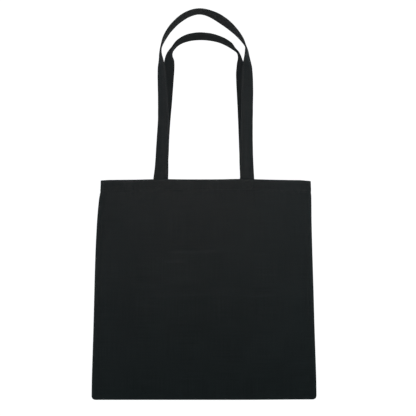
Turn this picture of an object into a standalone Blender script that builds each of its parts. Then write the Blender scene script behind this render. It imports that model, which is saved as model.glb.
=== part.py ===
"""Canvas tote bag with two long handles, hung upright with its mouth open.

Two canvas panels are sewn together down both sides and along the bottom, so the body is a lens in plan that
closes to a line at the bottom seam. Each panel's top is folded to the inside as a hem. One folded canvas handle
is sewn to each panel, and its ends are tucked inside the hem.

The origin is the middle of the mouth, level with the hems' top edges. +Z is up and the front panel faces -Y.
Lengths are metres and angles are degrees.
"""

import math

import bmesh
import bpy
from mathutils import Vector

# Body
BOTTOM_WIDTH = 0.404
MOUTH_WIDTH = 0.378  # between the side seams with the mouth held open
HEIGHT = 0.395
MOUTH_BULGE = 0.050  # how far the middle of each panel stands out from its side edges, at the mouth
BULGE_NEAR_SEAM = 1.4  # the bulge's slope at the bottom seam, over its mean slope
WIDTH_FALL = 1.4  # the power of the height by which opening the mouth draws the sides in

# Cloth
CLOTH = 0.0008
GAP = 0.0003  # between neighbouring solids
SEAM_THICKNESS = 0.0016  # two raw edges bound together
SEAM_ALLOWANCE = 0.009
HEM_DEPTH = 0.021
HEM_SIDE_TRIM = 0.004  # the turned layer stops short of the side seam, where the seam's bulk is

# Handles
STRAP_WIDTH = 0.025
STRAP_THICKNESS = 0.0024
STRAP_START = 0.002  # where the free strap begins, above the hem
END_LENGTH = 0.0195  # of the strap tucked inside the hem
END_TOP = -0.0005
HINGE_HEIGHT = 0.002

# Thread
THREAD = 0.0003  # radius
HEM_STITCH_UP = 0.0025  # the topstitching's height above the hem's lower edge
EDGE_STITCH_IN = 0.0025  # from the strap's edge
CROSS_WIDTH = 0.018
CROSS_HEIGHT = 0.013

# Each handle as (x, distance from the hem) in its own plane: a leg up to the shoulder, then half an arch up to the
# crown, each a Bezier curve. The twist is given as (distance along the strap, angle from facing forward).
FRONT = {
    "side": -1,
    "lean": 10.0,
    "leg": ((0.0765, 0.0), (0.0765, 0.080), (0.0774, 0.180), (0.0774, 0.241)),
    "arch": ((0.0774, 0.241), (0.0774, 0.267), (0.0290, 0.3125), (0.0, 0.3125)),
    "twist": ((0.0, 12.0), (0.080, 47.0), (0.180, 60.0), (0.238, 88.0), (0.255, 90.0)),
}
BACK = {
    "side": 1,
    "lean": 25.0,
    "leg": ((0.0765, 0.0), (0.0775, 0.080), (0.0695, 0.185), (0.0677, 0.263)),
    "arch": ((0.0677, 0.263), (0.0672, 0.283), (0.0347, 0.311), (0.0, 0.311)),
    "twist": ((0.0, 12.0), (0.087, 33.0), (0.197, 48.0), (0.263, 68.0), (0.287, 90.0)),
}

# Mesh density
PANEL_COLUMNS = 24
BODY_ROWS = 12
FOLD_STEPS = 3
TURNED_ROWS = 2
SEAM_ROWS = 14
LEG_STEPS = 26
ARCH_STEPS = 14
END_COLUMNS = 4

# Where the panel's middle surface runs beside the side seam, and the depths of what lies inside its outer face
EDGE_OFFSET = SEAM_THICKNESS / 2 + GAP + CLOTH / 2
TURNED_INSET = CLOTH + GAP  # from the panel's middle surface to the hem's turned layer
END_INSET = TURNED_INSET + CLOTH / 2 + GAP + STRAP_THICKNESS / 2
STITCH_OUTSET = CLOTH / 2 + GAP + THREAD


def clear_scene():
    for thing in list(bpy.data.objects):
        bpy.data.objects.remove(thing, do_unlink=True)


def make_material(name, color, roughness):
    material = bpy.data.materials.new(name)
    material.use_nodes = True
    shader = material.node_tree.nodes["Principled BSDF"]
    shader.inputs["Base Color"].default_value = (*color, 1.0)
    shader.inputs["Roughness"].default_value = roughness
    shader.inputs["Metallic"].default_value = 0.0
    return material


def add_object(name, data, material, collection):
    thing = bpy.data.objects.new(name, data)
    thing.data.materials.append(material)
    collection.objects.link(thing)
    return thing


def solidify(thing, thickness):
    shell = thing.modifiers.new("thickness", "SOLIDIFY")
    shell.thickness = thickness
    shell.offset = 0.0
    shell.use_even_offset = True


def cloth_sheet(name, columns, rows, place, thickness, material, collection, keep=None):
    """A grid whose vertex (column, row) goes to place(column, row), thickened about its middle surface."""
    shape = bmesh.new()
    bmesh.ops.create_grid(shape, x_segments=columns, y_segments=rows, size=0.5)
    cells = {}
    for vertex in shape.verts:
        column = round((vertex.co.x + 0.5) * columns)
        row = round((vertex.co.y + 0.5) * rows)
        cells[vertex] = (column, row)
        vertex.co = place(column, row)
    if keep:
        unwanted = [vertex for vertex, cell in cells.items() if not keep(*cell)]
        bmesh.ops.delete(shape, geom=unwanted, context="VERTS")
    mesh = bpy.data.meshes.new(name)
    shape.to_mesh(mesh)
    shape.free()
    mesh.shade_smooth()
    thing = add_object(name, mesh, material, collection)
    solidify(thing, thickness)
    return thing


def thread_line(name, points, material, collection):
    curve = bpy.data.curves.new(name, "CURVE")
    curve.dimensions = "3D"
    curve.bevel_depth = THREAD
    curve.bevel_resolution = 0
    curve.use_fill_caps = True
    line = curve.splines.new("POLY")
    line.points.add(len(points) - 1)
    for target, point in zip(line.points, points):
        target.co = (*point, 1.0)
    return add_object(name, curve, material, collection)


# The body's shape


def height_share(z):
    return 1.0 + z / HEIGHT


def half_width(z):
    drawn_in = (BOTTOM_WIDTH - MOUTH_WIDTH) / 2 * max(height_share(z), 0.0) ** WIDTH_FALL
    return BOTTOM_WIDTH / 2 - drawn_in


def bulge(z):
    share = height_share(z)
    return MOUTH_BULGE * share * (BULGE_NEAR_SEAM - (BULGE_NEAR_SEAM - 1.0) * share)


def on_panel(side, x, z, inset=0.0):
    """A point of a panel's middle surface, or inset towards the inside of the bag, at this x and z."""
    wide = half_width(z)
    depth = EDGE_OFFSET + bulge(z) * (1.0 - (x / wide) ** 2)
    slope = 2.0 * bulge(z) * x / wide**2
    inward = Vector((-slope, -1.0, 0.0)).normalized()
    point = Vector((x, depth, z)) + inward * inset
    return Vector((point.x, side * point.y, point.z))


def hem_stations():
    """The sheet's section from the bottom seam, over the fold, to the hem's raw edge, as (z, inset)."""
    radius = TURNED_INSET / 2
    top = -CLOTH / 2 - radius
    foot = -HEIGHT + GAP
    stations = [(foot + (-HEM_DEPTH - foot) * i / BODY_ROWS, 0.0) for i in range(BODY_ROWS + 1)]
    stations.append((top, 0.0))
    for i in range(1, FOLD_STEPS + 1):
        angle = math.pi * i / FOLD_STEPS
        stations.append((top + radius * math.sin(angle), radius * (1.0 - math.cos(angle))))
    for i in range(1, TURNED_ROWS + 1):
        stations.append((top + (-HEM_DEPTH - top) * i / TURNED_ROWS, TURNED_INSET))
    return stations


def make_panel(name, side, material, collection):
    stations = hem_stations()
    first_fold_row = BODY_ROWS + 2
    last = PANEL_COLUMNS

    def across(column, z):
        """The outermost column is the side edge, the next is where the turned layer stops."""
        wide = half_width(z)
        trimmed = wide - HEM_SIDE_TRIM
        if column in (0, last):
            return -wide if column == 0 else wide
        return trimmed * (2.0 * (column - 1) / (last - 2) - 1.0)

    def place(column, row):
        z, inset = stations[row]
        return on_panel(side, across(column, z), z, inset)

    def keep(column, row):
        return row < first_fold_row or 0 < column < last

    return cloth_sheet(
        name, PANEL_COLUMNS, len(stations) - 1, place, CLOTH, material, collection, keep
    )


def make_side_seam(name, hand, material, collection):
    """The bound raw edges inside one side seam, from under the hem to above the bottom seam."""
    top = -HEM_DEPTH - 2 * GAP
    foot = -HEIGHT + SEAM_ALLOWANCE + 2 * GAP

    def place(column, row):
        z = foot + (top - foot) * row / SEAM_ROWS
        outer = half_width(z) - GAP
        return Vector((hand * (outer - SEAM_ALLOWANCE * column), 0.0, z))

    return cloth_sheet(name, 1, SEAM_ROWS, place, SEAM_THICKNESS, material, collection)


def make_bottom_seam(name, material, collection):
    """The bound raw edges along the bottom, whose lower edge is the lowest face of the bag."""
    reach = half_width(-HEIGHT) - GAP

    def place(column, row):
        z = -HEIGHT + SEAM_ALLOWANCE * row
        return Vector((reach * (2.0 * column - 1.0), 0.0, z))

    return cloth_sheet(name, 1, 1, place, SEAM_THICKNESS, material, collection)


def make_hem_stitch(name, side, material, collection):
    z = -HEM_DEPTH + HEM_STITCH_UP
    reach = half_width(z) - HEM_SIDE_TRIM
    points = []
    for i in range(PANEL_COLUMNS + 1):
        x = reach * (2.0 * i / PANEL_COLUMNS - 1.0)
        points.append(on_panel(side, x, z, -STITCH_OUTSET))
    return thread_line(name, points, material, collection)


# The handles' shape


def bezier(points, t):
    a, b, c, d = (Vector(point) for point in points)
    return a * (1 - t) ** 3 + b * 3 * t * (1 - t) ** 2 + c * 3 * t * t * (1 - t) + d * t**3


def bezier_slope(points, t):
    a, b, c, d = (Vector(point) for point in points)
    slope = (b - a) * (1 - t) ** 2 + (c - b) * 2 * t * (1 - t) + (d - c) * t * t
    return slope.normalized()


def smooth_through(points, at):
    """A smooth curve through (position, value) points, level before the first and after the last."""
    if at <= points[0][0]:
        return points[0][1]
    if at >= points[-1][0]:
        return points[-1][1]
    i = max(k for k in range(len(points) - 1) if points[k][0] <= at)

    def slope(k):
        if k == len(points) - 1:
            return 0.0
        before, after = points[max(k - 1, 0)], points[k + 1]
        return (after[1] - before[1]) / (after[0] - before[0])

    (x0, y0), (x1, y1) = points[i], points[i + 1]
    span = x1 - x0
    t = (at - x0) / span
    return (
        y0 * (1 + 2 * t) * (1 - t) ** 2
        + slope(i) * span * t * (1 - t) ** 2
        + y1 * t * t * (3 - 2 * t)
        + slope(i + 1) * span * t * t * (t - 1)
    )


def half_path(handle):
    """From the hem towards the crown, in the handle's plane: (position, direction, twist angle) at each station.

    It stops a step short of the crown, so the two halves meet in a flat facet where a hook or a hand bears.
    """
    stations = []
    for points, steps in ((handle["leg"], LEG_STEPS), (handle["arch"], ARCH_STEPS)):
        for i in range(steps + 1):
            if stations and i == 0:
                continue
            stations.append((bezier(points, i / steps), bezier_slope(points, i / steps)))
    stations.pop()
    along = 0.0
    path = []
    previous = stations[0][0]
    for position, direction in stations:
        along += (position - previous).length
        previous = position
        path.append((position, direction, math.radians(smooth_through(handle["twist"], along))))
    return path


def root_depth(handle):
    """The depth of the strap's middle where it leaves the hem."""
    return on_panel(handle["side"], handle["leg"][0][0], 0.0, END_INSET).y


def strap_frames(handle):
    """Left root to right root: each station's centre, the unit vector across the strap and its face normal."""
    side = handle["side"]
    lean = math.radians(handle["lean"])
    up = Vector((0.0, math.sin(lean), math.cos(lean)))
    outward = side * Vector((0.0, math.cos(lean), -math.sin(lean)))
    right = Vector((1.0, 0.0, 0.0))
    root = Vector((0.0, root_depth(handle), 0.0))

    frames = []
    for position, direction, twist in half_path(handle):
        rise = max(position.y, STRAP_START)
        inner = -right * direction.y + up * direction.x
        across = inner * math.cos(twist) + outward * math.sin(twist)
        along = right * direction.x + up * direction.y
        centre = root + right * position.x + up * rise
        frames.append((centre, across, along))

    whole = []
    for centre, across, along in frames:
        mirrored = Vector((-1.0, 1.0, 1.0))
        whole.append((centre * mirrored, across * mirrored, along * mirrored))
    for centre, across, along in reversed(frames):
        whole.append((centre, across, -along))
    return [(centre, across, along.cross(across).normalized()) for centre, across, along in whole]


def make_strap(name, handle, material, collection):
    frames = strap_frames(handle)

    def place(column, row):
        centre, across, _ = frames[row]
        return centre + across * STRAP_WIDTH * (column / 2 - 0.5)

    return cloth_sheet(
        name, 2, len(frames) - 1, place, STRAP_THICKNESS, material, collection
    )


def make_edge_stitch(name, handle, edge, material, collection):
    """One line of stitching along the strap. edge is 1 for the inner edge and -1 for the outer one."""
    reach = edge * (STRAP_WIDTH / 2 - EDGE_STITCH_IN)
    lift = STRAP_THICKNESS / 2 + GAP + THREAD
    points = []
    for centre, across, normal in strap_frames(handle):
        points.append(centre + across * reach + handle["side"] * normal * lift)
    return thread_line(name, points, material, collection)


def make_strap_end(name, handle, hand, material, collection):
    middle = hand * handle["leg"][0][0]

    def place(column, row):
        x = middle + STRAP_WIDTH * (column / END_COLUMNS - 0.5)
        z = END_TOP - END_LENGTH * (1 - row)
        return on_panel(handle["side"], x, z, END_INSET)

    return cloth_sheet(name, END_COLUMNS, 1, place, STRAP_THICKNESS, material, collection)


def make_cross_stitch(name, handle, hand, material, collection):
    """A box with its two diagonals, sewn through the hem and the strap end."""
    side = handle["side"]
    middle = hand * handle["leg"][0][0]
    low, high = HEM_STITCH_UP * 2 - HEM_DEPTH, HEM_STITCH_UP * 2 - HEM_DEPTH + CROSS_HEIGHT
    outset = -(STITCH_OUTSET + THREAD)
    shape = bmesh.new()
    corners = [
        shape.verts.new(on_panel(side, middle + CROSS_WIDTH * across, z, outset))
        for across, z in ((-0.5, low), (0.5, low), (0.5, high), (-0.5, high))
    ]
    bmesh.ops.poke(shape, faces=[shape.faces.new(corners)])
    mesh = bpy.data.meshes.new(name)
    shape.to_mesh(mesh)
    shape.free()
    thing = add_object(name, mesh, material, collection)
    wire = thing.modifiers.new("thread", "WIREFRAME")
    wire.thickness = 2 * THREAD
    wire.use_replace = True
    wire.use_boundary = True
    return thing


def main():
    clear_scene()
    parts = bpy.data.collections.new("canvas_tote_bag")
    bpy.context.scene.collection.children.link(parts)

    canvas = make_material("canvas", (0.0144, 0.0160, 0.0168), 0.92)
    strap_canvas = make_material("strap_canvas", (0.0178, 0.0202, 0.0212), 0.90)
    thread = make_material("thread", (0.0150, 0.0160, 0.0168), 0.60)

    for word, handle in (("front", FRONT), ("back", BACK)):
        side = handle["side"]
        make_panel(f"{word}_panel", side, canvas, parts)
        make_hem_stitch(f"{word}_hem_topstitch", side, thread, parts)
        for hand_word, hand in (("left", -1), ("right", 1)):
            make_strap_end(f"{word}_{hand_word}_strap_end", handle, hand, strap_canvas, parts)
            make_cross_stitch(f"{word}_{hand_word}_cross_stitch", handle, hand, thread, parts)

        hinge = bpy.data.objects.new(f"{word}_handle_hinge", None)
        inner_edge = handle["leg"][0][0] - STRAP_WIDTH / 2
        hinge.location = on_panel(side, inner_edge, 0.0, -CLOTH / 2)
        hinge.location.x = 0.0
        hinge.location.z = HINGE_HEIGHT
        parts.objects.link(hinge)
        moving = [make_strap(f"{word}_handle", handle, strap_canvas, parts)]
        for edge_word, edge in (("inner", 1), ("outer", -1)):
            name = f"{word}_handle_{edge_word}_stitch"
            moving.append(make_edge_stitch(name, handle, edge, thread, parts))
        bpy.context.view_layer.update()
        for piece in moving:
            piece.parent = hinge
            piece.matrix_parent_inverse = hinge.matrix_world.inverted()

    for hand_word, hand in (("left", -1), ("right", 1)):
        make_side_seam(f"{hand_word}_seam_overlock", hand, thread, parts)
    make_bottom_seam("bottom_seam_overlock", thread, parts)


main()
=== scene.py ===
"""The looks of the canvas tote bag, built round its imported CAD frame.

Two canvas panels with turned-in seams and a double-folded hem, two folded-canvas straps, every line of
stitching as separate stitches, and the raw edges bound with looped thread. Lengths are metres in the row
frame: the origin is the middle of the mouth, +Z is up and the front panel faces -Y.
"""

import math

import bmesh
import bpy
import numpy as np
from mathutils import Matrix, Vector


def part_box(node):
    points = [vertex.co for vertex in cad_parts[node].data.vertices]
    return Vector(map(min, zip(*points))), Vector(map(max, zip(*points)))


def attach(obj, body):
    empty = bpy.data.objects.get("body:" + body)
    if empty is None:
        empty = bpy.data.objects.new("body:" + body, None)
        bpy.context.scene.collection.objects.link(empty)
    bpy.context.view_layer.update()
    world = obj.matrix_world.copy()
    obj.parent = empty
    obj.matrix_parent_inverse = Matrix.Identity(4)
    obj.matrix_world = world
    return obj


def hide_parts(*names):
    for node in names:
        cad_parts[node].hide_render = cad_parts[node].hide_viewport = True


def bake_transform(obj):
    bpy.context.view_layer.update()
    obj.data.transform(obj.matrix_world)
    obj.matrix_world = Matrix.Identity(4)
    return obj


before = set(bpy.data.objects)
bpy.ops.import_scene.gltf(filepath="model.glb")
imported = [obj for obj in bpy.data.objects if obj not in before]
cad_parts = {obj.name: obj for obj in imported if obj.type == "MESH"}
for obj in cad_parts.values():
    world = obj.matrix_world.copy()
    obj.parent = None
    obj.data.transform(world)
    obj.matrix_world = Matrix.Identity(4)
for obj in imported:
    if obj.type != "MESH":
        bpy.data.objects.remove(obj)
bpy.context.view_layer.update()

# Body, as in the CAD
HEIGHT = -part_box("bottom_seam_overlock")[0].z
BOTTOM_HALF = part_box("front_panel")[1].x
MOUTH_HALF = 0.189
MOUTH_BULGE = 0.050  # how far the middle of each panel stands out from its side edges, at the mouth
BULGE_NEAR_SEAM = 1.4  # the bulge's slope at the bottom seam, over its mean slope
WIDTH_FALL = 1.4  # the power of the height by which opening the mouth draws the sides in
HEM_DEPTH = 0.021

# Cloth
CLOTH = 0.0006
PITCH = 0.00075  # from one layer's middle to the next where they lie together
ALLOWANCE = 0.0085
SEAM_LEVEL = 0.00029  # each allowance's middle from the plane of the side seams
SEAM_RADIUS = 0.00055  # of the fold where a panel turns in to its allowance
TUCK = 0.007  # the hem's raw edge folded under
CORNER_RADIUS = 0.0075
HEM_SIDE_TRIM = 0.0010  # the hem's turned layers stop this far short of the side seams
ALLOWANCE_TOP = -HEM_DEPTH - 0.0015  # the side allowances end just below the hem,
ALLOWANCE_STUB = 0.0006  # but for a strip this wide, which closes the seam up to the mouth
EDGE_LEVEL = SEAM_LEVEL + 2 * SEAM_RADIUS  # a panel's middle from that plane, where it turns in

# Straps: as in the CAD, but as they really hang, with the crown off centre and each leg turned its own way
STRAP_WIDTH = 0.025
STRAP_THICKNESS = 0.0032
STRAP_END_THICKNESS = 0.0022  # where the stitching holds it down
STRAP_INSET = 0.0030  # from the panel's middle surface to the strap's, inside the hem
STRAP_END_LOW = -0.0200
STRAP_START = 0.0020
STRAP_ROOT = 0.0765

# Each leg and the crown are (distance from the middle, distance from the hem) in the handle's own plane. The
# arms shape the arch, at the leg's top and at the crown. The twist is in degrees from lying flat against the
# panel, at the distances along the strap in twist_at. Legs, arms, crowns and twists are the result of a
# program that fitted the straps' outline to the photograph, rounded to 0.5 mm and whole degrees, with some
# then changed.
FRONT = {
    "word": "front",
    "side": -1,
    "lean": 10.0,
    "crown": (-0.0080, 0.3095),
    "crown_twist": 95,
    "twist_at": (0.0, 0.085, 0.165, 0.205, 0.225, 0.242, 0.268, 0.310),
    "left": {
        "leg": ((0.0785, 0.0), (0.0675, 0.080), (0.0755, 0.180), (0.0790, 0.2275)),
        "arms": (0.0365, 0.0330),
        "twist": (17, 36, 50, 61, 79, 85, 94, 98),
    },
    "right": {
        "leg": ((0.0755, 0.0), (0.0730, 0.080), (0.0795, 0.180), (0.0765, 0.2355)),
        "arms": (0.0265, 0.0315),
        "twist": (13, 31, 35, 47, 69, 81, 95, 108),
    },
    "seed": 3,
}
BACK = {
    "word": "back",
    "side": 1,
    "lean": 25.0,
    "crown": (-0.0085, 0.3090),
    "crown_twist": 88,
    "twist_at": (0.0, 0.085, 0.165, 0.225, 0.258, 0.277, 0.292, 0.325),
    "left": {
        "leg": ((0.0790, 0.0), (0.0780, 0.080), (0.0735, 0.180), (0.0655, 0.2630)),
        "arms": (0.0260, 0.0370),
        "twist": (7, 27, 21, 33, 51, 90, 95, 90),
    },
    "right": {
        "leg": ((0.0775, 0.0), (0.0760, 0.080), (0.0750, 0.180), (0.0650, 0.2655)),
        "arms": (0.0190, 0.0400),
        "twist": (8, 15, 27, 46, 78, 105, 96, 92),
    },
    "seed": 8,
}
HANDLES = (FRONT, BACK)

# Mesh density
PANEL_COLUMNS = 171
BODY_ROWS = 150
HEM_ROWS = 42
TURNED_ROWS = 20
FOLD_STEPS = 5
LEG_STEPS = 200
ARCH_STEPS = 60

# Stitching
THREAD = 0.00022  # radius
STITCH = 0.0026  # its length
STITCH_PITCH = 0.0033
HEM_STITCH_Z = -HEM_DEPTH + 0.0025
EDGE_STITCH = 0.80  # of the strap's half width
EDGE_STITCH_START = 0.024  # from the strap's end
BOX_HALF = 0.009
BOX_LOW = -0.0160
BOX_HIGH = -0.0030
LOOP_PITCH = 0.0026  # of the overlock
LOOP_MIDDLE = ALLOWANCE - 0.0022
LOOP_REACH = 0.0026

# Camera
CAMERA_DISTANCE = 2.389
CAMERA_SIDE = 0.0066
CAMERA_HEIGHT = -0.0504
CAMERA_LENS = 115.1
FLOOR_Z = -2.000


# Meshes


def make_mesh(name, points, faces, material, uv=None, attributes=None):
    """A smooth mesh object. uv holds a pair for every face corner, in metres of cloth."""
    mesh = bpy.data.meshes.new(name)
    mesh.from_pydata(np.asarray(points).tolist(), [], faces)
    if uv is not None:
        layer = mesh.uv_layers.new(name="cloth")
        layer.data.foreach_set("uv", np.asarray(uv, np.float32).ravel())
    for word, values in (attributes or {}).items():
        attribute = mesh.attributes.new(word, "FLOAT", "POINT")
        attribute.data.foreach_set("value", np.asarray(values, np.float32).ravel())
    mesh.shade_smooth()
    mesh.materials.append(material)
    mesh.update()
    thing = bpy.data.objects.new(name, mesh)
    bpy.context.scene.collection.objects.link(thing)
    return thing


def face_outward(thing):
    shape = bmesh.new()
    shape.from_mesh(thing.data)
    bmesh.ops.recalc_face_normals(shape, faces=shape.faces)
    shape.to_mesh(thing.data)
    shape.free()


def sweep(centres, across, normals, section):
    """Rings of a section, given as (across, normal) pairs, along a path, with both ends closed."""
    section = np.broadcast_to(section, (len(centres), *np.shape(section)[-2:]))
    rings = (
        centres[:, None]
        + across[:, None] * section[..., 0:1]
        + normals[:, None] * section[..., 1:2]
    )
    count, sides = rings.shape[:2]
    index = np.arange(count * sides).reshape(count, sides)
    low, high = index[:-1], index[1:]
    quads = np.stack([low, np.roll(low, -1, 1), np.roll(high, -1, 1), high], axis=-1)
    faces = quads.reshape(-1, 4).tolist()
    faces += [index[0][::-1].tolist(), index[-1].tolist()]
    return rings.reshape(-1, 3), faces


def unit(vectors):
    return vectors / np.maximum(np.linalg.norm(vectors, axis=-1, keepdims=True), 1e-12)


def circle(radius, sides):
    angles = np.arange(sides) * 2 * math.pi / sides
    return np.stack([radius * np.cos(angles), radius * np.sin(angles)], axis=-1)


def smoothstep(low, high, value):
    t = np.clip((value - low) / (high - low), 0, 1)
    return t * t * (3 - 2 * t)


def waves(x, y, length, seed, count=7):
    """A smooth irregular surface of about unit height, made of a few plane waves of about this length."""
    random = np.random.default_rng(seed)
    total = np.zeros(np.broadcast(x, y).shape)
    for _ in range(count):
        heading, phase = random.uniform(0, 2 * math.pi, 2)
        size = length * random.uniform(0.7, 1.5)
        along = x * math.cos(heading) + y * math.sin(heading)
        total += np.sin(2 * math.pi * along / size + phase)
    return total / math.sqrt(count)


# The body's shape


def half_width(z):
    share = np.clip(1 + z / HEIGHT, 0, 1)
    return BOTTOM_HALF - (BOTTOM_HALF - MOUTH_HALF) * share**WIDTH_FALL


def bulge(z):
    share = np.clip(1 + z / HEIGHT, 0, 1)
    return MOUTH_BULGE * share * (BULGE_NEAR_SEAM - (BULGE_NEAR_SEAM - 1) * share)


def main_half(z):
    """Where a panel's middle surface turns in at the side seam."""
    return half_width(z) - CLOTH / 2 - SEAM_RADIUS


# Faint creases from packing: height on the bag, left end, right end and depth, which on the front also sets
# their painted highlight
CREASES = (
    (-0.1275, -0.072, 0.034, 0.00070),
    (-0.1440, -0.082, -0.026, 0.00060),
    (-0.2050, -0.110, 0.125, 0.00025),
)


def crease_line(crease, x, z):
    """1 along a crease, falling to 0 within a few millimetres of it."""
    level, start, end, _ = crease
    wander = level + 0.0012 * np.sin(x * 41 + level * 300)
    ends = smoothstep(start, start + 0.02, x) * smoothstep(end, end - 0.02, x)
    return np.exp(-(((z - wander) / 0.0021) ** 2)) * ends


def drape(side, x, z):
    """The slow swells of hanging cloth, and the belly in the middle of a panel."""
    seed = 20 + side
    swell = 0.0015 * waves(x * 0.8, z * 1.3, 0.180, seed) + 0.0003 * waves(x, z, 0.065, seed + 5)
    belly = np.sin(math.pi * np.clip(-z / HEIGHT, 0, 1)) * np.clip(1 - (x / BOTTOM_HALF) ** 2, 0, 1) ** 2
    return swell + (0.0022 - 0.0010 * side) * belly


def strap_pulls(x, z):
    """Pulls that fan out below each strap; the hem is too stiff to show them."""
    fan_height, slant_height = 0.0013, 0.0008
    rise = 0.0
    for root in (-STRAP_ROOT, STRAP_ROOT):
        fan_width = 0.012 - 0.10 * np.minimum(z, 0)
        fan = np.exp(-((np.abs(x - root) / fan_width) ** 2))
        rise = rise + fan_height * fan * np.exp(z / 0.055)
        for slant in (-0.34, 0.30):
            line = x - root - slant * z
            width = 0.004 - 0.035 * np.minimum(z, 0)
            rise = rise + slant_height * np.exp(-((line / width) ** 2)) * np.exp(z / 0.070)
    return rise * smoothstep(-HEM_DEPTH + 0.002, -HEM_DEPTH - 0.016, z)


def puckers(side, x, z, to_side, to_bottom):
    """Small gathers along the side and bottom seams."""
    seed = 20 + side
    beside = np.sin(2 * math.pi * z / 0.0130 + 2.2 * waves(x, z, 0.050, seed + 9))
    beside = 0.00022 * beside * np.exp(-to_side / 0.010) * smoothstep(0, 0.002, to_side)
    below = np.sin(2 * math.pi * x / 0.0160 + 2.0 * waves(x, z, 0.060, seed + 11))
    below = 0.00018 * below * np.exp(-to_bottom / 0.009) * smoothstep(0, 0.002, to_bottom)
    return beside + below


def allowance_print(z, to_seam):
    """The bound seam allowances inside print through, and the cloth drops off their edge."""
    rise = 0.00035 * smoothstep(ALLOWANCE + 0.0012, ALLOWANCE - 0.0006, to_seam)
    dip = smoothstep(ALLOWANCE, ALLOWANCE + 0.004, to_seam) * np.exp(-to_seam / 0.022)
    return rise - 0.00050 * dip * np.minimum(1, bulge(z) * 120)


def hem_relief(side, x, z):
    """The hem is three layers, pinched along its stitching and rippled beside it."""
    layers = smoothstep(-HEM_DEPTH - 0.0012, -HEM_DEPTH + 0.0004, z)
    pinch = np.exp(-(((z - HEM_STITCH_Z) / 0.0011) ** 2))
    along = 0.7 + 0.3 * np.cos(2 * math.pi * x / STITCH_PITCH)
    ripple = np.sin(2 * math.pi * x / 0.0110 + 2.5 * waves(x, z, 0.045, 22 + side))
    ripple = ripple * np.exp(-(((z - HEM_STITCH_Z) / 0.009) ** 2))
    return 0.00022 * layers - 0.00024 * pinch * along + 0.00020 * ripple


def relief(side, x, z):
    """How far the cloth stands out from its plain curve. The seams themselves keep their line."""
    to_side = main_half(z) - np.abs(x)
    to_bottom = z + HEIGHT
    free = smoothstep(0.0, 0.045, to_side) * smoothstep(0.0, 0.06, to_bottom)
    rise = drape(side, x, z) * free + strap_pulls(x, z)
    for crease in CREASES:
        rise = rise - side * crease[3] * crease_line(crease, x, z)
    rise = rise + puckers(side, x, z, to_side, to_bottom)
    rise = rise + allowance_print(z, np.minimum(to_side, to_bottom))
    rise = rise + hem_relief(side, x, z)
    return rise * smoothstep(-0.0002, 0.0030, to_side) * smoothstep(-0.0002, 0.0030, to_bottom)


# How far each side seam hangs to the right of its plain line, as (height, distance) from the bottom up
LEFT_LINE = (
    (-0.360, -0.0006), (-0.270, 0.0), (-0.126, -0.0010), (-0.072, -0.0004),
    (-0.038, 0.0011), (-0.018, 0.0029), (0, 0.0029),
)
RIGHT_LINE = (
    (-0.360, -0.0004), (-0.270, -0.0012), (-0.200, -0.0009), (-0.126, -0.0004),
    (-0.072, 0.0005), (-0.030, 0.0019), (0, 0.0021),
)


def mouth_droop(x):
    """How far the mouth's edge hangs below its plain height: down at the corners, held up near the straps."""
    left_corner = 0.0006 * smoothstep(0.172, 0.186, -x)
    right_side = 0.0004 * smoothstep(0.10, 0.16, x)
    right_corner = 0.0013 * smoothstep(0.168, MOUTH_HALF, x)
    droop = left_corner + right_side + right_corner
    for root, pull in ((-STRAP_ROOT, 0.0007), (STRAP_ROOT - 0.010, 0.0010)):
        droop -= pull * np.exp(-(((x - root) / 0.030) ** 2))
    return droop


def settle(points):
    """Moves finished points to how the bag hangs: side seams out of true, corners of the mouth drooping."""
    x, z = points[..., 0].copy(), points[..., 2]
    fade = smoothstep(0.040, 0.0, z)  # the straps above the hem follow less and less
    share = np.clip(np.abs(x) / half_width(z), 0, 1)
    line = np.where(x < 0, smooth_through(LEFT_LINE, z), smooth_through(RIGHT_LINE, z))
    nick = -0.0006 * np.sign(x) * np.exp(-(((z + HEM_DEPTH + 0.001) / 0.0022) ** 2)) * share**8
    points[..., 0] += (line * share**2 + nick) * fade
    droop = mouth_droop(x) * smoothstep(-0.05, 0.0, z) * fade
    lift = 0.0007 * smoothstep(0.06, 0.19, x) * smoothstep(-0.30, -HEIGHT, z)  # of the bottom's right end
    points[..., 2] += lift - droop
    return points


def panel_point(side, x, z, inset=0.0):
    """Points of a panel's middle surface, or inset into the bag from it, before it settles."""
    wide = main_half(z)
    share = x / wide
    depth = EDGE_LEVEL + bulge(z) * np.maximum(1 - share**2, 0)
    slope = 2 * bulge(z) * share / wide
    norm = np.sqrt(1 + slope**2)
    out = relief(side, x, z) - inset
    return np.stack([x + out * slope / norm, side * (depth + out / norm), z + 0 * x], axis=-1)


def panel_face(side, x, z, inset):
    """A point on the panel and the direction out of it."""
    step = 0.0004
    across = unit(panel_point(side, x + step, z, inset) - panel_point(side, x - step, z, inset))
    up = unit(panel_point(side, x, z + step, inset) - panel_point(side, x, z - step, inset))
    out = unit(np.cross(across, up))
    return panel_point(side, x, z, inset), out * np.sign(out[..., 1:2] * side)


def panel_columns():
    """(kind, value, hand) for each column from left to right: a share of the half width on the panel itself,
    an angle on the fold at each side, and a distance in from the fold on its allowance."""
    trim = 1 - HEM_SIDE_TRIM / MOUTH_HALF
    inner = np.linspace(-trim, trim, PANEL_COLUMNS)
    edge = np.linspace(trim, 1, 6)[1:]
    turned = [("fold", math.pi * k / FOLD_STEPS) for k in range(1, FOLD_STEPS + 1)]
    turned.append(("allowance", ALLOWANCE_STUB))
    turned += [("allowance", ALLOWANCE * k / 4) for k in range(2, 5)]
    left = [(kind, value, -1) for kind, value in turned[::-1]]
    main = [("main", share, 0) for share in (*-edge[::-1], *inner, *edge)]
    right = [(kind, value, 1) for kind, value in turned]
    return left + main + right


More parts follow.
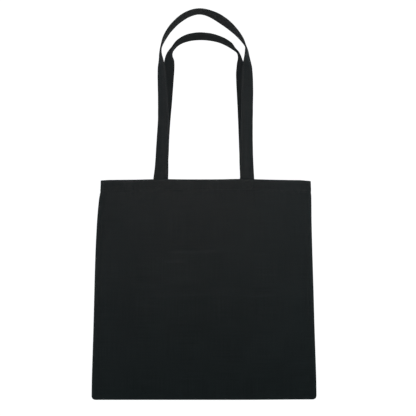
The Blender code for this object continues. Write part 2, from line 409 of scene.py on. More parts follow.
def panel_rows():
    """(kind, value) for each row, from the bottom allowance's raw edge up and over the hem to its tuck,
    and the heights where the panel turns in at the bottom and at the mouth."""
    low = -HEIGHT + CLOTH / 2 + SEAM_RADIUS
    top = -CLOTH / 2 - PITCH
    body_top = -HEM_DEPTH - 0.003
    rows = [("allowance", ALLOWANCE * k / 4) for k in range(4, 0, -1)]
    rows += [("fold", math.pi * k / FOLD_STEPS) for k in range(FOLD_STEPS, 0, -1)]
    rows += [("main", z) for z in np.linspace(low, body_top, BODY_ROWS)]
    rows += [("main", z) for z in np.linspace(body_top, top, HEM_ROWS)[1:]]
    rows += [("turn", math.pi * k / 6) for k in range(1, 7)]
    rows += [("down", z) for z in np.linspace(top, -HEM_DEPTH, TURNED_ROWS)[1:]]
    rows += [("under", math.pi * k / 4) for k in range(1, 5)]
    rows += [("tuck", z) for z in np.linspace(-HEM_DEPTH, -HEM_DEPTH + TUCK, 6)[1:]]
    return rows, low, top


def row_place(kind, value, low, top):
    """A row's height, and how far inside the outer layer it lies."""
    layers = {"main": 0.0, "down": 2 * PITCH, "tuck": PITCH}
    if kind in layers:
        return value, layers[kind]
    if kind == "turn":
        return top + PITCH * math.sin(value), PITCH * (1 - math.cos(value))
    if kind == "under":
        return -HEM_DEPTH - PITCH / 2 * math.sin(value), 2 * PITCH - PITCH / 2 * (1 - math.cos(value))
    return low, 0.0


def round_corner(points):
    """Draws the square bottom corners in to a radius."""
    x, z = points[..., 0], points[..., 2]
    centre_x = BOTTOM_HALF - CORNER_RADIUS
    centre_z = -HEIGHT + CORNER_RADIUS
    u = np.clip((np.abs(x) - centre_x) / CORNER_RADIUS, 0, 1)
    v = np.clip((centre_z - z) / CORNER_RADIUS, 0, 1)
    inside = (u > 0) & (v > 0)
    new_x = centre_x + CORNER_RADIUS * u * np.sqrt(1 - v**2 / 2)
    new_z = centre_z - CORNER_RADIUS * v * np.sqrt(1 - u**2 / 2)
    points[..., 0] = np.where(inside, np.sign(x) * new_x, x)
    points[..., 2] = np.where(inside, new_z, z)
    return points


def panel_row(side, columns, kind, value, low, top):
    """One row's points, and which of them exist."""
    z, inset = row_place(kind, value, low, top)
    wide = main_half(z)
    shares = np.array([amount if word == "main" else hand for word, amount, hand in columns], float)
    on_panel_itself = np.array([word == "main" for word, _, _ in columns])
    rounding = 1e-6
    in_hem = on_panel_itself & (np.abs(shares) <= 1 - HEM_SIDE_TRIM / MOUTH_HALF + rounding)
    row = panel_point(side, shares * wide, np.full(len(columns), z), inset)
    exists = np.ones(len(columns), bool)

    if kind == "fold":
        row[:, 1] = side * (SEAM_LEVEL + SEAM_RADIUS * (1 + math.cos(value)))
        row[:, 2] = low - SEAM_RADIUS * math.sin(value)
    elif kind == "allowance":
        row[:, 1] = side * SEAM_LEVEL
        row[:, 2] = low + value
    for c, (word, amount, hand) in enumerate(columns):
        if word == "fold":
            turned = (1 + math.cos(amount)) / 2
            rise = (1 + math.cos(value)) / 2 if kind == "fold" else 1.0
            row[c, 0] = hand * (wide + SEAM_RADIUS * math.sin(amount))
            row[c, 1] = side * (SEAM_LEVEL + 2 * SEAM_RADIUS * turned * rise)
            exists[c] = kind in ("main", "fold")
        elif word == "allowance":
            row[c, 0] = hand * (wide - amount)
            row[c, 1] = side * SEAM_LEVEL
            exists[c] = kind == "main" and (z < ALLOWANCE_TOP or amount == ALLOWANCE_STUB)

    if kind == "main":
        row[~in_hem, 2] += PITCH * smoothstep(top - 0.006, top, value)  # up to where the hem turns over
    elif kind == "allowance":
        exists &= on_panel_itself & (np.abs(row[:, 0]) < BOTTOM_HALF - ALLOWANCE - 0.0015)
    elif kind != "fold":
        exists &= in_hem
    return row, exists


def panel_wear_and_highlight(side, columns, rows, points, low, top):
    """How much the cloth is lightened at each point: 1 along folds and edges, where it is worn, and some
    along the front's creases, partly wear and partly painted highlight.
    """
    reach = 0.0016
    wear_and_painted_highlight = np.zeros(points.shape[:2])
    for r, (kind, value) in enumerate(rows):
        if kind in ("fold", "turn"):
            wear_and_painted_highlight[r] = 1.0
        elif kind == "main":
            wear_and_painted_highlight[r] = np.maximum(np.exp(-(value - low) / reach), np.exp(-(top - value) / reach))
    for c, (kind, value, _) in enumerate(columns):
        if kind == "fold":
            wear_and_painted_highlight[:, c] = 1.0
        elif kind == "main":
            wear_and_painted_highlight[:, c] = np.maximum(wear_and_painted_highlight[:, c], np.exp(-(1 - abs(value)) * MOUTH_HALF / reach))
    # painted highlight: the front panel's creases are lightened, partly as wear and partly to stand in for
    # light catching them
    if side < 0:
        for crease in CREASES:
            line = crease_line(crease, points[..., 0], points[..., 2])
            wear_and_painted_highlight = np.maximum(wear_and_painted_highlight, 700 * crease[3] * line)
    return wear_and_painted_highlight


def cloth_lengths(points):
    """Distances along a run of points."""
    steps = np.linalg.norm(np.diff(points, axis=0), axis=-1)
    return np.concatenate([[0], np.cumsum(steps)])


def make_panel(handle, material):
    side = handle["side"]
    columns = panel_columns()
    rows, low, top = panel_rows()
    made = [panel_row(side, columns, kind, value, low, top) for kind, value in rows]
    points = np.array([row for row, _ in made])
    exists = np.array([present for _, present in made])
    across_cloth = cloth_lengths(points[len(rows) // 3])
    up_cloth = cloth_lengths(points[:, len(columns) // 2])
    points = settle(round_corner(points))
    wear_and_painted_highlight = panel_wear_and_highlight(side, columns, rows, points, low, top)

    index = -np.ones(exists.shape, int)
    index[exists] = np.arange(exists.sum())
    cells = exists[:-1, :-1] & exists[:-1, 1:] & exists[1:, :-1] & exists[1:, 1:]
    r, c = np.nonzero(cells)
    corners = [(r, c), (r, c + 1), (r + 1, c + 1), (r + 1, c)]
    faces = np.stack([index[a, b] for a, b in corners], axis=-1)
    uv = np.stack([np.stack([across_cloth[b], up_cloth[a]], axis=-1) for a, b in corners], axis=1)
    if side > 0:
        faces, uv = faces[:, ::-1], uv[:, ::-1]
    thing = make_mesh(
        f"{handle['word']}_panel_cloth", points[exists], faces.tolist(), material,
        uv.reshape(-1, 2), {"wear_and_painted_highlight": wear_and_painted_highlight[exists]},
    )
    shell = thing.modifiers.new("thickness", "SOLIDIFY")
    shell.thickness = CLOTH
    shell.offset = 0.0
    return thing


# The straps' shape


def bezier(points, t):
    a, b, c, d = (np.array(point) for point in points)
    t = t[:, None]
    return a * (1 - t) ** 3 + b * 3 * t * (1 - t) ** 2 + c * 3 * t * t * (1 - t) + d * t**3


def smooth_through(points, at):
    """A smooth curve through (position, value) points, level before the first and after the last."""
    places, values = (np.array(column, float) for column in zip(*points))
    slopes = np.zeros(len(points))
    slopes[0] = (values[1] - values[0]) / (places[1] - places[0])
    slopes[1:-1] = (values[2:] - values[:-2]) / (places[2:] - places[:-2])
    at = np.clip(at, places[0], places[-1])
    i = np.clip(np.searchsorted(places, at, "right") - 1, 0, len(points) - 2)
    span = places[i + 1] - places[i]
    t = (at - places[i]) / span
    return (
        values[i] * (1 + 2 * t) * (1 - t) ** 2
        + slopes[i] * span * t * (1 - t) ** 2
        + values[i + 1] * t * t * (3 - 2 * t)
        + slopes[i + 1] * span * t * t * (t - 1)
    )


def half_strap(handle, hand):
    """One leg and its half of the arch, in the handle's own plane, and the twist along it."""
    half = handle["left" if hand < 0 else "right"]
    crown_x, crown_up = handle["crown"]
    leg_points = np.array(half["leg"])
    top = leg_points[3]
    out_arm, crown_arm = half["arms"]
    onward = top + unit(top - leg_points[2]) * out_arm
    arch_points = (top, onward, (hand * crown_x + crown_arm, crown_up), (hand * crown_x, crown_up))
    leg = bezier(leg_points, np.linspace(0, 1, LEG_STEPS + 1))
    arch = bezier(arch_points, np.linspace(0, 1, ARCH_STEPS + 1))
    plane = np.concatenate([leg, arch[1:]])
    along = cloth_lengths(plane)
    stations = [*zip(handle["twist_at"], half["twist"]), (along[-1], handle["crown_twist"])]
    twist = smooth_through(stations, along)
    kept = plane[:, 1] >= STRAP_START
    return plane[kept] * (hand, 1), twist[kept]


def root_middle(handle, hand):
    """Where a strap's end is sewn, from side to side."""
    return hand * handle["left" if hand < 0 else "right"]["leg"][0][0]


def strap_end(handle, hand):
    """Centres and directions across, up a sewn end. It lies flat, so it is a chord of the hem's curve."""
    z = np.linspace(STRAP_END_LOW, -0.0005, 12)
    outer, inner = (
        panel_point(handle["side"], root_middle(handle, hand) + reach * hand, z, STRAP_INSET)
        for reach in (0.4 * STRAP_WIDTH, -0.4 * STRAP_WIDTH)
    )
    return (outer + inner) / 2, unit(inner - outer)


def strap_path(handle):
    """Centres, directions across and face normals along the whole strap, from one sewn end to the other."""
    side = handle["side"]
    (left, left_twist), (right, right_twist) = (half_strap(handle, hand) for hand in (-1, 1))
    plane = np.concatenate([left, right[-2::-1]])
    twist = np.radians(np.concatenate([left_twist, right_twist[-2::-1]]))
    along = STRAP_START + cloth_lengths(plane)
    from_root = np.minimum(along, along[-1] + STRAP_START - along)
    loose = smoothstep(0.01, 0.09, from_root)
    ends = [strap_end(handle, hand) for hand in (-1, 1)]
    leaving = 1 - smoothstep(0.0, 0.030, from_root)  # it comes out of the hem flat against it
    on_left = np.arange(len(along)) < len(left)
    tops = [end[1][-1] for end in ends]
    hem_turn = np.where(on_left, *(math.atan2(top[1] * side, abs(top[0])) for top in tops))
    twist += (hem_turn - twist) * leaving

    lean = math.radians(handle["lean"])
    right_way = np.array([1.0, 0.0, 0.0])
    up = np.array([0.0, math.sin(lean), math.cos(lean)])
    outward = side * np.array([0.0, math.cos(lean), -math.sin(lean)])
    slope = unit(np.gradient(plane, axis=0))
    inner = slope[:, 1:2] * right_way - slope[:, 0:1] * up
    across = inner * np.cos(twist)[:, None] + outward * np.sin(twist)[:, None]
    root_depth = np.mean([end[0][-1][1] for end in ends])
    hem_depth = np.where(on_left, *(end[0][-1][1] for end in ends))
    sway = 0.0011 * loose * waves(along, 0 * along, 0.13, handle["seed"] + 2)
    sway += (hem_depth - root_depth) * side * (1 - smoothstep(0.0, 0.060, from_root))
    centres = (
        np.array([0.0, root_depth, 0.0])
        + plane[:, 0:1] * right_way
        + plane[:, 1:2] * up
        + sway[:, None] * outward
    )

    (left_end, left_across), (right_end, right_across) = ends
    centres = np.concatenate([left_end, centres, right_end[::-1]])
    across = np.concatenate([left_across, across, right_across[::-1]])
    direction = unit(np.gradient(centres, axis=0))
    across = unit(across - direction * (across * direction).sum(1, keepdims=True))
    normals = np.cross(direction, across)
    return centres, across, normals


def strap_height(share):
    """Half the strap's thickness at a share of its half width: it is pinched along its stitching."""
    size = np.abs(share)
    height = 0.92 + 0.08 * np.cos(size * math.pi) - 0.34 * np.exp(-(((size - EDGE_STITCH) / 0.07) ** 2))
    edge = np.clip((size - 0.90) / 0.10, 0, 1)
    return STRAP_THICKNESS / 2 * height * np.sqrt(1 - 0.80 * edge**2)


def strap_fullness(along):
    """The strap's thickness at each distance from its end, as a share of its full one."""
    from_end = np.minimum(along, along[-1] - along)
    pressed = STRAP_END_THICKNESS / STRAP_THICKNESS
    return pressed + (1 - pressed) * smoothstep(0.018, 0.050, from_end)


def strap_section():
    """The folded strip's outline: a fold at its inner edge and two turned-in edges at its outer one."""
    face = np.array([-0.985, -0.94, -0.89, -0.84, -0.80, -0.76, -0.70, -0.55, -0.35, -0.12])
    shares = np.concatenate([face, -face[::-1]])
    upper = np.stack([shares, strap_height(shares)], axis=-1)
    lower = np.stack([shares[::-1], -strap_height(shares)[::-1]], axis=-1)
    fold = np.array([[1.0, 0.0003], [1.005, 0.0], [1.0, -0.0003]])
    lips = np.array([[-1.0, -0.00028], [-0.955, 0.0], [-1.0, 0.00028]])
    outline = np.concatenate([upper, fold, lower, lips])
    outline[:, 0] *= STRAP_WIDTH / 2
    return outline


def strap_uv(outline, along):
    """A pair for every corner of the strap's faces: distance round its section, distance along it."""
    girth = cloth_lengths(np.vstack([outline, outline[:1]]))
    sides = len(outline)
    i, j = np.divmod(np.arange((len(along) - 1) * sides), sides)
    corners = ((i, j), (i, j + 1), (i + 1, j + 1), (i + 1, j))
    uv = np.stack([np.stack([girth[b], along[a]], axis=-1) for a, b in corners], axis=1)
    return np.concatenate([uv.reshape(-1, 2), np.zeros((2 * sides, 2))])


def make_strap(handle, material):
    centres, across, normals = strap_path(handle)
    outline = strap_section()
    along = cloth_lengths(centres)
    from_end = np.minimum(along, along[-1] - along)
    seed = handle["seed"]

    section = np.repeat(outline[None], len(centres), axis=0)
    ripple = np.stack([waves(along, 0 * along + x * 0.4, 0.017, seed + 4) for x in outline[:, 0]], axis=1)
    section[..., 1] += 0.00007 * ripple * np.sign(outline[:, 1])
    section[..., 1] *= strap_fullness(along)[:, None]
    flare = 0.035 * np.exp(-from_end / 0.035)
    section[..., 0] *= (1 + flare + 0.008 * waves(along, 0 * along, 0.040, seed + 6))[:, None]

    points, faces = sweep(centres, across, normals, section)
    wear_and_highlight = np.exp(-(1 - np.abs(outline[:, 0]) / (STRAP_WIDTH / 2)) / 0.05)
    thing = make_mesh(
        f"{handle['word']}_strap_cloth", settle(points), faces, material, strap_uv(outline, along),
        {"wear_and_painted_highlight": np.tile(wear_and_highlight, len(centres))},
    )
    face_outward(thing)
    return thing


# Stitches


def stitch_mesh(name, stitches, material):
    """Every stitch is a short arched thread from one point to another, on a surface with this normal."""
    starts, ends, normals = (np.array(column, float) for column in zip(*stitches))
    # places along a stitch, its height there, with both ends sunk in the cloth, and its thickness
    t = np.array([0.0, 0.10, 0.30, 0.5, 0.70, 0.90, 1.0])
    lift = np.array([-1.6, 0.15, 0.75, 0.85, 0.75, 0.15, -1.6]) * THREAD
    size = np.array([0.75, 0.95, 1.0, 1.0, 1.0, 0.95, 0.75])
    section = circle(THREAD, 6)[None] * size[:, None, None]
    points, faces = [], []
    for start, end, normal in zip(starts, ends, normals):
        path = start + (end - start) * t[:, None] + normal * lift[:, None]
        direction = unit(end - start)
        sideways = np.broadcast_to(unit(np.cross(direction, normal)), path.shape)
        ring, quads = sweep(path, sideways, np.broadcast_to(normal, path.shape), section)
        base = len(points) * len(ring)
        points.append(ring)
        faces += [[base + k for k in quad] for quad in quads]
    thing = make_mesh(name, settle(np.concatenate(points)), faces, material)
    face_outward(thing)
    return thing


def run_of_stitches(length, place):
    """Stitches along a run of this length: place(distance) gives a point and its normal."""
    count = max(1, int(length / STITCH_PITCH))
    pitch = length / count
    made = []
    for k in range(count):
        middle = (k + 0.5) * pitch
        start, normal = place(middle - STITCH / 2)
        end, _ = place(middle + STITCH / 2)
        made.append((start, end, normal))
    return made


def on_panel(side, x, z, inset, inside):
    """The cloth's face there and its normal: the outer face, or the inner one of the layer at this inset."""
    point, out = panel_face(side, np.array(x), np.array(z), inset)
    return point, -out if inside else out


def hem_stitches(handle, material):
    side = handle["side"]
    reach = main_half(HEM_STITCH_Z) - HEM_SIDE_TRIM - 0.001
    made = []
    for inside, inset in ((False, -CLOTH / 2), (True, 2 * PITCH + CLOTH / 2)):
        def place(distance, inside=inside, inset=inset):
            return on_panel(side, distance - reach, HEM_STITCH_Z, inset, inside)

        made += run_of_stitches(2 * reach, place)

    def shown(stitch):
        """Not where a strap end covers the inner line."""
        outside = (stitch[2][1] * side) > 0
        return outside or abs(abs(stitch[0][0]) - STRAP_ROOT) > STRAP_WIDTH / 2 + 0.003

    return stitch_mesh(f"{handle['word']}_hem_stitches", [s for s in made if shown(s)], material)


def box_stitches(handle, hand, word, material):
    """A box with its diagonals through the strap end, on the panel's face and on the strap's inner face."""
    side = handle["side"]
    middle = root_middle(handle, hand)
    corners = [(-BOX_HALF, BOX_LOW), (BOX_HALF, BOX_LOW), (BOX_HALF, BOX_HIGH), (-BOX_HALF, BOX_HIGH)]
    lines = [(corners[k], corners[(k + 1) % 4]) for k in range(4)]
    lines += [(corners[0], corners[2]), (corners[1], corners[3])]
    made = []
    strap_face = STRAP_INSET + STRAP_END_THICKNESS / 2 - 0.0001  # a little sunk into the strap
    for inside, inset in ((False, -CLOTH / 2), (True, strap_face)):
        for (x0, z0), (x1, z1) in lines:
            length = math.hypot(x1 - x0, z1 - z0)

            def place(distance, x0=x0, z0=z0, x1=x1, z1=z1, length=length, inside=inside, inset=inset):
                share = distance / length
                x, z = middle + x0 + (x1 - x0) * share, z0 + (z1 - z0) * share
                return on_panel(side, x, z, inset, inside)

            made += run_of_stitches(length, place)
    return stitch_mesh(f"{handle['word']}_{word}_box_stitches", made, material)


def edge_stitches(handle, edge, word, material):
    """One line of stitches along the strap, seen on both its faces."""
    centres, across, normals = strap_path(handle)
    along = cloth_lengths(centres)
    run = along[-1] - EDGE_STITCH_START - EDGE_STITCH_START
    height = strap_height(np.array(EDGE_STITCH)) * strap_fullness(along)[:, None]
    made = []
    for face in (-1, 1):
        line = centres + across * (edge * EDGE_STITCH * STRAP_WIDTH / 2) + normals * face * height

        def place(distance, line=line, face=face):
            at = EDGE_STITCH_START + distance
            point = np.array([np.interp(at, along, line[:, k]) for k in range(3)])
            normal = np.array([np.interp(at, along, normals[:, k]) for k in range(3)])
            return point, unit(normal) * face

        made += run_of_stitches(run, place)
    return stitch_mesh(f"{handle['word']}_{word}_edge_stitches", made, material)


def overlock(name, length, place, material):
    """Thread looped round both raw edges. place(distance, reach, level) gives a point: reach runs from the
    stitch line out past the raw edges, and level is the height above the seam's middle plane."""
    per_loop = 14
    loops = int(length / LOOP_PITCH)
    turn = np.arange(loops * per_loop + 1) / per_loop
    angle = 2 * math.pi * turn
    reach = LOOP_MIDDLE + LOOP_REACH * np.cos(angle)
    wave = np.sin(angle)
    level = np.sign(wave) * np.abs(wave) ** 0.6 * (SEAM_LEVEL + CLOTH / 2 + THREAD * 0.8)
    slant = 0.35 * LOOP_PITCH * np.sin(angle)
    distance = np.clip(turn * LOOP_PITCH + slant, 0, length)
    path = place(distance, reach, level)
    direction = unit(np.gradient(path, axis=0))
    sideways = unit(np.cross(direction, np.array([0.31, 0.22, 0.93])))
    points, faces = sweep(path, sideways, np.cross(sideways, direction), circle(THREAD * 0.8, 5))
    thing = make_mesh(name, settle(points), faces, material)
    face_outward(thing)
    return thing


# Materials


class Nodes:
    """Short forms for building a node tree."""

    def __init__(self, material):
        material.use_nodes = True
        self.tree = material.node_tree
        self.shader = self.tree.nodes["Principled BSDF"]

    def add(self, kind, inputs=(), **settings):
        node = self.tree.nodes.new(kind)
        for word, value in settings.items():
            setattr(node, word, value)
        for key, value in dict(inputs).items():
            self.put(value, node.inputs[key])
        return node

    def put(self, value, socket):
        if isinstance(value, bpy.types.NodeSocket):
            self.tree.links.new(value, socket)
        else:
            socket.default_value = value

    def math(self, operation, *values):
        node = self.add("ShaderNodeMath", dict(enumerate(values)), operation=operation)
        return node.outputs[0]

    def mix(self, share, low, high):
        """Between two numbers."""
        node = self.add("ShaderNodeMix", {0: share, 2: low, 3: high}, data_type="FLOAT")
        return node.outputs[0]

    def mix_colors(self, share, low, high):
        node = self.add("ShaderNodeMix", {0: share, 6: low, 7: high}, data_type="RGBA")
        return node.outputs[2]

    def noise(self, vector, scale, detail=2.0, roughness=0.5):
        node = self.add(
            "ShaderNodeTexNoise",
            {"Vector": vector, "Scale": scale, "Detail": detail, "Roughness": roughness},
        )
        return node.outputs["Fac"]


def weave(nodes, cloth, warp_pitch, weft_pitch):
    """Plain weave: its height from 0 to 1, and how the threads vary in thickness."""
    slow = nodes.noise(cloth, 55.0, 3.0)
    parts = nodes.add("ShaderNodeSeparateXYZ", {0: cloth})
    wobble = nodes.math("MULTIPLY", nodes.math("SUBTRACT", slow, 0.5), 0.9)
    u = nodes.math("ADD", nodes.math("DIVIDE", parts.outputs["X"], warp_pitch), wobble)
    v = nodes.math("ADD", nodes.math("DIVIDE", parts.outputs["Y"], weft_pitch), wobble)
    cell = nodes.math("ADD", nodes.math("FLOOR", u), nodes.math("FLOOR", v))
    over = nodes.math("ABSOLUTE", nodes.math("MODULO", cell, 2.0))
    across_u = nodes.math("SINE", nodes.math("MULTIPLY", nodes.math("FRACT", u), math.pi))
    across_v = nodes.math("SINE", nodes.math("MULTIPLY", nodes.math("FRACT", v), math.pi))

    def thread(across, along):
        crown = nodes.math("MULTIPLY_ADD", along, 0.45, 0.55)
        return nodes.math("MULTIPLY", nodes.math("POWER", across, 0.6), crown)

    warp, weft = thread(across_u, across_v), thread(across_v, across_u)
    low_weft = nodes.math("MULTIPLY", nodes.math("POWER", across_v, 0.6), 0.5)
    low_warp = nodes.math("MULTIPLY", nodes.math("POWER", across_u, 0.6), 0.5)
    height = nodes.mix(over, nodes.math("MAXIMUM", weft, low_warp), nodes.math("MAXIMUM", warp, low_weft))

    def slub(*scale):
        stretched = nodes.add("ShaderNodeVectorMath", {0: cloth, 1: scale}, operation="MULTIPLY")
        return nodes.noise(stretched.outputs[0], 1.0, 1.0)

    slub_u, slub_v = slub(1 / warp_pitch, 14.0, 1.0), slub(14.0, 1 / weft_pitch, 1.0)
    return height, nodes.mix(over, slub_v, slub_u)


def canvas_material(name, dark, light, warp_pitch, weft_pitch, roughness, sheen):
    material = bpy.data.materials.new(name)
    nodes = Nodes(material)
    cloth = nodes.add("ShaderNodeUVMap", uv_map="cloth").outputs["UV"]
    height, slub = weave(nodes, cloth, warp_pitch, weft_pitch)
    place = nodes.add("ShaderNodeTexCoord").outputs["Object"]
    patches = nodes.noise(place, 9.0, 3.0, 0.55)
    fade = nodes.noise(place, 60.0, 4.0, 0.6)
    fuzz = nodes.noise(cloth, 5200.0, 2.0, 0.6)
    wear_and_highlight = nodes.add("ShaderNodeAttribute", attribute_name="wear_and_painted_highlight").outputs["Fac"]

    # painted shade: the colour follows the weave's height, darker in the hollows between threads and lighter
    # on their crowns
    tone = nodes.math("MULTIPLY_ADD", height, 0.75, -0.06)
    for variation, strength in ((slub, 0.75), (patches, 0.25), (fuzz, 0.35)):
        change = nodes.math("MULTIPLY", nodes.math("SUBTRACT", variation, 0.5), strength)
        tone = nodes.math("ADD", tone, change)
    # lighter where worn along folds and edges, and painted highlight along the front panel's creases
    rubbed_and_highlit = nodes.math("MULTIPLY", wear_and_highlight, nodes.math("MULTIPLY", fade, height))
    tone = nodes.math("ADD", tone, nodes.math("MULTIPLY", rubbed_and_highlit, 0.9))
    tone = nodes.add("ShaderNodeClamp", {0: tone, 1: 0.0, 2: 1.0}).outputs[0]
    color = nodes.mix_colors(tone, (*dark, 1), (*light, 1))

    # a few pale fibres of lint
    specks = nodes.add("ShaderNodeTexVoronoi", {"Vector": cloth, "Scale": 190.0})
    lint = nodes.math("LESS_THAN", specks.outputs["Distance"], 0.035)
    lint = nodes.math("MULTIPLY", lint, nodes.math("GREATER_THAN", nodes.noise(cloth, 31.0), 0.60))
    color = nodes.mix_colors(nodes.math("MULTIPLY", lint, 0.30), color, (0.16, 0.16, 0.16, 1))
    nodes.put(color, nodes.shader.inputs["Base Color"])

    rough = nodes.math("MULTIPLY_ADD", height, -0.08, roughness + 0.04)
    rough = nodes.math("SUBTRACT", rough, nodes.math("MULTIPLY", rubbed_and_highlit, 0.10))
    nodes.put(rough, nodes.shader.inputs["Roughness"])
    nodes.shader.inputs["Sheen Weight"].default_value = sheen
    nodes.shader.inputs["Sheen Roughness"].default_value = 0.45
    nodes.shader.inputs["Sheen Tint"].default_value = (0.80, 0.90, 1.0, 1.0)
    nodes.shader.inputs["Specular IOR Level"].default_value = 0.12

    surface = nodes.math("ADD", height, nodes.math("MULTIPLY", fuzz, 0.35))
    surface = nodes.math("ADD", surface, nodes.math("MULTIPLY", slub, 0.6))
    bump = nodes.add("ShaderNodeBump", {"Height": surface, "Strength": 0.75, "Distance": 0.00016})
    nodes.put(bump.outputs[0], nodes.shader.inputs["Normal"])
    return material


def thread_material(name, color):
    material = bpy.data.materials.new(name)
    nodes = Nodes(material)
    place = nodes.add("ShaderNodeTexCoord").outputs["Object"]
    twist = nodes.add(
        "ShaderNodeTexWave",
        {"Vector": place, "Scale": 900.0, "Distortion": 2.0, "Detail": 1.0},
        bands_direction="DIAGONAL",
    )
    tone = nodes.math("MULTIPLY_ADD", nodes.noise(place, 140.0), 0.5, 0.25)
    light = tuple(c * 2.1 for c in color)
    nodes.put(nodes.mix_colors(tone, (*color, 1), (*light, 1)), nodes.shader.inputs["Base Color"])
    nodes.put(nodes.math("MULTIPLY_ADD", twist.outputs["Fac"], 0.15, 0.50), nodes.shader.inputs["Roughness"])
    nodes.shader.inputs["Sheen Weight"].default_value = 0.04
    nodes.shader.inputs["Specular IOR Level"].default_value = 0.16
    bump = nodes.add("ShaderNodeBump", {"Height": twist.outputs["Fac"], "Strength": 0.4, "Distance": 0.00008})
    nodes.put(bump.outputs[0], nodes.shader.inputs["Normal"])
    return material


# Stage, light and camera


RIM = ((0.5, 1.0), 5.6, (0.52, 0.88, 1.0), 180)
# Name, place, target, size, watts, colour and spread in degrees. Powers and colours started from a program
# that solved them from the photograph's tones.
LAMPS = (
    ("key", (-0.15, -0.95, 0.62), (0, 0, 0.02), (0.8, 0.5), 2.8, (1.0, 0.80, 0.91), 180),
    ("low_fill", (0.05, -1.15, -0.50), (0, 0, 0.34), (1.3, 0.3), 2.45, (1.0, 0.80, 0.75), 60),
    ("fill", (0.5, -2.4, -0.5), (0, 0, -0.25), (1.6, 1.0), 4.9, (0.60, 0.98, 1.0), 90),
    ("left_rim", (-1.5, -0.22, -0.10), (0, 0, -0.15), *RIM),
    ("right_rim", (1.5, -0.22, -0.10), (0, 0, -0.15), *RIM),
    ("back", (0.3, 1.4, 0.9), (0, 0, 0), (1.2, 1.2), 14.0, (1.0, 0.96, 0.93), 180),
)


def make_stage():
    """A pale floor that curves up into a round backdrop. It sheds no light on the bag and casts no shadow."""
    wall, bend, wall_height, sides = 6.0, 1.2, 14.0, 96
    profile = [(0.001, FLOOR_Z)]
    for k in range(13):
        angle = math.pi / 2 * k / 12
        profile.append((wall - bend + bend * math.sin(angle), FLOOR_Z + bend - bend * math.cos(angle)))
    profile.append((wall, FLOOR_Z + wall_height))
    turn = np.arange(sides) * 2 * math.pi / sides
    points = [(r * math.cos(a), r * math.sin(a), z) for r, z in profile for a in turn]
    faces = []
    for ring in range(len(profile) - 1):
        for k in range(sides):
            low, high = ring * sides, (ring + 1) * sides
            faces.append([low + k, low + (k + 1) % sides, high + (k + 1) % sides, high + k])
    material = bpy.data.materials.new("studio_sweep")
    nodes = Nodes(material)
    nodes.shader.inputs["Base Color"].default_value = (0.86, 0.86, 0.86, 1)
    nodes.shader.inputs["Roughness"].default_value = 0.9
    nodes.shader.inputs["Emission Color"].default_value = (1, 1, 1, 1)
    nodes.shader.inputs["Emission Strength"].default_value = 0.90
    backdrop = make_mesh("studio_sweep", points, faces, material)
    backdrop.visible_diffuse = False
    backdrop.visible_glossy = False
    backdrop.visible_shadow = False


def add_area(name, place, target, size, power, color, spread):
    data = bpy.data.lights.new(name, "AREA")
    data.shape = "RECTANGLE"
    data.size, data.size_y = size
    data.energy = power
    data.color = color
    data.spread = math.radians(spread)
    lamp = bpy.data.objects.new(name, data)
    lamp.location = place
    lamp.rotation_euler = (Vector(target) - Vector(place)).to_track_quat("-Z", "Y").to_euler()
    bpy.context.scene.collection.objects.link(lamp)


def make_world():
    """A dim surround, a little brighter from below."""
    world = bpy.data.worlds.new("studio")
    bpy.context.scene.world = world
    world.use_nodes = True
    tree = world.node_tree
    background = tree.nodes["Background"]
    background.inputs[1].default_value = 1.0
    direction = tree.nodes.new("ShaderNodeTexCoord")
    parts = tree.nodes.new("ShaderNodeSeparateXYZ")
    ramp = tree.nodes.new("ShaderNodeValToRGB")
    height = tree.nodes.new("ShaderNodeMapRange")
    height.inputs["From Min"].default_value = -1.0
    tree.links.new(direction.outputs["Generated"], parts.inputs[0])
    tree.links.new(parts.outputs["Z"], height.inputs["Value"])
    tree.links.new(height.outputs[0], ramp.inputs[0])
    tree.links.new(ramp.outputs[0], background.inputs[0])
    ramp.color_ramp.elements[0].color = (0.195, 0.205, 0.205, 1)
    ramp.color_ramp.elements[1].color = (0.13, 0.13, 0.13, 1)


def make_camera():
    data = bpy.data.cameras.new("camera")
    data.lens = CAMERA_LENS
    data.sensor_width = 36.0
    data.clip_end = 50.0
    camera = bpy.data.objects.new("camera", data)
    camera.location = (CAMERA_SIDE, -CAMERA_DISTANCE, CAMERA_HEIGHT)
    camera.rotation_euler = (math.pi / 2, 0.0, 0.0)
    bpy.context.scene.collection.objects.link(camera)
    bpy.context.scene.camera = camera


# The bag


def dress(thing, slot, *nodes):
    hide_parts(*nodes)
    return thing


def blend_root(thing):
    """Bakes the strap's placement into its own mesh."""
    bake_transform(thing)


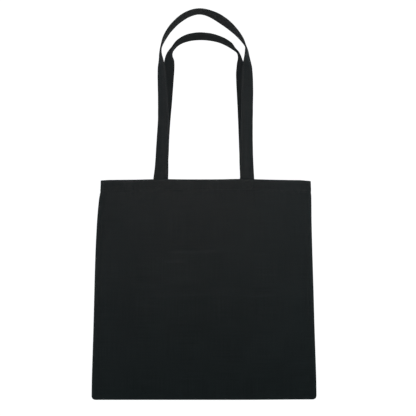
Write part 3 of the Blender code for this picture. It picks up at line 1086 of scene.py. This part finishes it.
def make_bag():
    canvas = canvas_material(
        "canvas", (0.0036, 0.0042, 0.0043), (0.0260, 0.0285, 0.0288), 0.00062, 0.00070, 0.90, 0.04
    )
    # the straps' canvas is the body's canvas painted a little lighter: painted light to make up for the shade
    # their twist turns them into
    strap_canvas = canvas_material(
        "strap_canvas", (0.0038, 0.0045, 0.0046), (0.0275, 0.0305, 0.0310), 0.00062, 0.00070, 0.90, 0.04
    )
    thread = thread_material("thread", (0.0095, 0.0104, 0.0106))

    for handle in HANDLES:
        word = handle["word"]
        panel = make_panel(handle, canvas)
        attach(dress(panel, "canvas", f"{word}_panel"), "bag")
        seams = hem_stitches(handle, thread)
        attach(dress(seams, "thread", f"{word}_hem_topstitch"), "bag")
        for hand_word, hand in (("left", -1), ("right", 1)):
            box = box_stitches(handle, hand, hand_word, thread)
            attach(dress(box, "thread", f"{word}_{hand_word}_cross_stitch"), "bag")

        strap = make_strap(handle, strap_canvas)
        dress(strap, "strap_canvas", f"{word}_handle", f"{word}_left_strap_end", f"{word}_right_strap_end")
        blend_root(strap)
        for edge_word, edge in (("inner", 1), ("outer", -1)):
            line = edge_stitches(handle, edge, edge_word, thread)
            dress(line, "thread", f"{word}_handle_{edge_word}_stitch")
            blend_root(line)

    bind_seams(thread)


def bind_seams(thread):
    """The overlock along the inside of both side seams and the bottom one."""
    side_low, side_high = -HEIGHT + ALLOWANCE + 0.001, -HEM_DEPTH - 0.003
    for hand_word, hand in (("left", -1), ("right", 1)):
        def place(distance, reach, level, hand=hand):
            z = side_low + distance
            return np.stack([hand * (main_half(z) - reach), level, z], axis=-1)

        bound = overlock(f"{hand_word}_seam_thread", side_high - side_low, place, thread)
        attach(dress(bound, "thread", f"{hand_word}_seam_overlock"), "bag")

    reach_x = BOTTOM_HALF - ALLOWANCE - 0.003

    def along_bottom(distance, reach, level):
        return np.stack([distance - reach_x, level, -HEIGHT + CLOTH / 2 + SEAM_RADIUS + reach], axis=-1)

    bound = overlock("bottom_seam_thread", 2 * reach_x, along_bottom, thread)
    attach(dress(bound, "thread", "bottom_seam_overlock"), "bag")


def main():
    bpy.context.scene.view_settings.view_transform = "Standard"
    make_camera()
    make_world()
    for lamp in LAMPS:
        add_area(*lamp)
    make_stage()
    make_bag()
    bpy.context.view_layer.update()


main()
